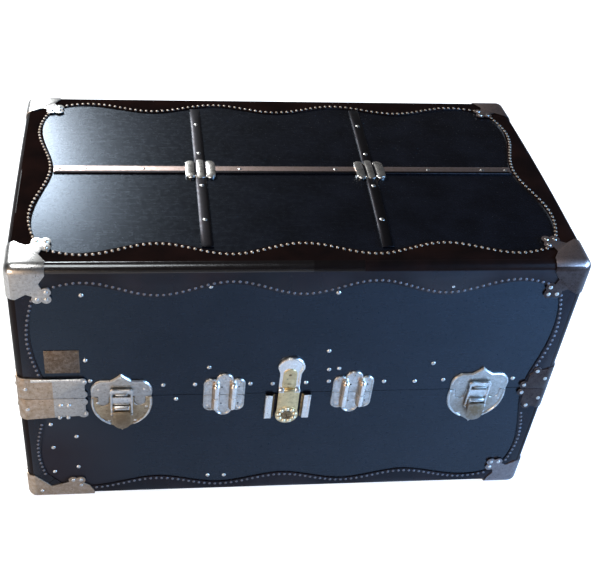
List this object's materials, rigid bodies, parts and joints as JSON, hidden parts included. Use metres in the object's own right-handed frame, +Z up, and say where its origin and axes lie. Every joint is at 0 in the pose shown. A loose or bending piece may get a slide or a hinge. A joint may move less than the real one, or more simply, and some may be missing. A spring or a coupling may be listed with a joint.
{
  "type": "trunk",
  "caption": "Rectangular travel trunk with a slightly arched top, scalloped nailed bindings, corner caps, draw bolts, hasp lock, end handles and a hinged lid on slotted stays.",
  "frame": {"origin": "on the floor under the middle of the closed trunk's bounding box", "axes": "+Z up, X along the length, the lock at the front (-Y), the lid's hinges at the back (+Y)"},
  "size_m": [0.9446, 0.5342, 0.5464],
  "materials": {
    "wood": "plain plywood",
    "black_fibre_covering": "glossy blue-black sheet",
    "black_fibre_binding": "glossy black",
    "lining_cloth": "matt",
    "nickelled_steel": "worn nickel",
    "dark_steel": "dark, dull",
    "lock_brass": "worn",
    "handle_leather": "polished"
  },
  "bodies": {
    "base": {"base_box": "wood", "base_covering": "black_fibre_covering", "base_lining": "lining_cloth", "base_corner_bindings": "black_fibre_binding", "base_bottom_bindings": "black_fibre_binding", "base_seam_clamps": "nickelled_steel", "base_corner_caps": "nickelled_steel", "base_rim_strip": "dark_steel", "left_drawbolt_plate": "nickelled_steel", "left_drawbolt_pin": "nickelled_steel", "right_drawbolt_plate": "nickelled_steel", "right_drawbolt_pin": "nickelled_steel", "base_dowel_plates": "nickelled_steel", "lock_plate": "nickelled_steel", "lock_collar": "lock_brass", "base_hinge_leaves": "dark_steel", "hinge_pins": "dark_steel", "right_handle_brackets": "dark_steel", "left_handle_brackets": "dark_steel", "right_stay_pivot": "dark_steel", "left_stay_pivot": "dark_steel"},
    "lid": {"lid_box": "wood", "lid_covering": "black_fibre_covering", "lid_lining": "lining_cloth", "lid_corner_bindings": "black_fibre_binding", "lid_top_bindings": "black_fibre_binding", "lid_seam_clamps": "nickelled_steel", "lid_corner_caps": "nickelled_steel", "left_drawbolt_catch": "nickelled_steel", "right_drawbolt_catch": "nickelled_steel", "lid_dowel_plates": "nickelled_steel", "guide_dowels": "nickelled_steel", "hasp_plate": "lock_brass", "hasp_pin": "lock_brass", "blank_plate": "lock_brass", "centre_strip": "nickelled_steel", "cross_straps": "dark_steel", "crossing_clamps": "nickelled_steel", "lid_hinge_leaves": "dark_steel", "right_stay_stud": "dark_steel", "left_stay_stud": "dark_steel"},
    "left_lever": {"left_drawbolt_lever": "nickelled_steel", "left_drawbolt_link_studs": "nickelled_steel"},
    "right_lever": {"right_drawbolt_lever": "nickelled_steel", "right_drawbolt_link_studs": "nickelled_steel"},
    "left_link": {"left_drawbolt_link": "nickelled_steel"},
    "right_link": {"right_drawbolt_link": "nickelled_steel"},
    "hasp": {"hasp": "lock_brass"},
    "lock_cylinder": {"lock_cylinder": "lock_brass"},
    "left_handle": {"left_handle": "handle_leather"},
    "right_handle": {"right_handle": "handle_leather"},
    "left_stay": {"left_stay_arm": "dark_steel"},
    "right_stay": {"right_stay_arm": "dark_steel"}
  },
  "joints": [
    {"name": "lid_hinge", "type": "hinge", "parent": "base", "child": "lid", "pos_m": [0, 0.2623, 0.2605], "axis": [-1, 0, 0], "range_deg": [0, 95]},
    {"name": "left_stay_pivot", "type": "hinge", "parent": "base", "child": "left_stay", "pos_m": [-0.4394, 0.1123, 0.2305], "axis": [-1, 0, 0], "range_deg": [0, 47.5]},
    {"name": "right_stay_pivot", "type": "hinge", "parent": "base", "child": "right_stay", "pos_m": [0.4394, 0.1123, 0.2305], "axis": [-1, 0, 0], "range_deg": [0, 47.5]},
    {"name": "left_drawbolt_lever", "type": "hinge", "parent": "base", "child": "left_lever", "pos_m": [-0.287, -0.2598, 0.2405], "axis": [-1, 0, 0], "range_deg": [0, 145]},
    {"name": "left_drawbolt_link", "type": "hinge", "parent": "left_lever", "child": "left_link", "pos_m": [-0.287, -0.2588, 0.2255], "axis": [-1, 0, 0], "range_deg": [-145, 0]},
    {"name": "right_drawbolt_lever", "type": "hinge", "parent": "base", "child": "right_lever", "pos_m": [0.32813, -0.2598, 0.2405], "axis": [-1, 0, 0], "range_deg": [0, 145]},
    {"name": "right_drawbolt_link", "type": "hinge", "parent": "right_lever", "child": "right_link", "pos_m": [0.32813, -0.2588, 0.2255], "axis": [-1, 0, 0], "range_deg": [-145, 0]},
    {"name": "hasp_hinge", "type": "hinge", "parent": "lid", "child": "hasp", "pos_m": [-0.00503, -0.2568, 0.2695], "axis": [-1, 0, 0], "range_deg": [0, 150]},
    {"name": "lock_turn", "type": "hinge", "parent": "base", "child": "lock_cylinder", "pos_m": [-0.00503, -0.2568, 0.2125], "axis": [0, 1, 0], "range_deg": [0, 90]},
    {"name": "right_handle_swing", "type": "hinge", "parent": "base", "child": "right_handle", "pos_m": [0.4653, 0.0025, 0.1765], "axis": [0, -1, 0], "range_deg": [0, 150]},
    {"name": "left_handle_swing", "type": "hinge", "parent": "base", "child": "left_handle", "pos_m": [-0.4653, 0.0025, 0.1765], "axis": [0, 1, 0], "range_deg": [0, 150]}
  ],
  "couplings": [
    {"joint": "left_stay_pivot", "follows": "lid_hinge", "ratio": 0.5},
    {"joint": "right_stay_pivot", "follows": "lid_hinge", "ratio": 0.5},
    {"joint": "left_drawbolt_link", "follows": "left_drawbolt_lever", "ratio": -1},
    {"joint": "right_drawbolt_link", "follows": "right_drawbolt_lever", "ratio": -1}
  ]
}
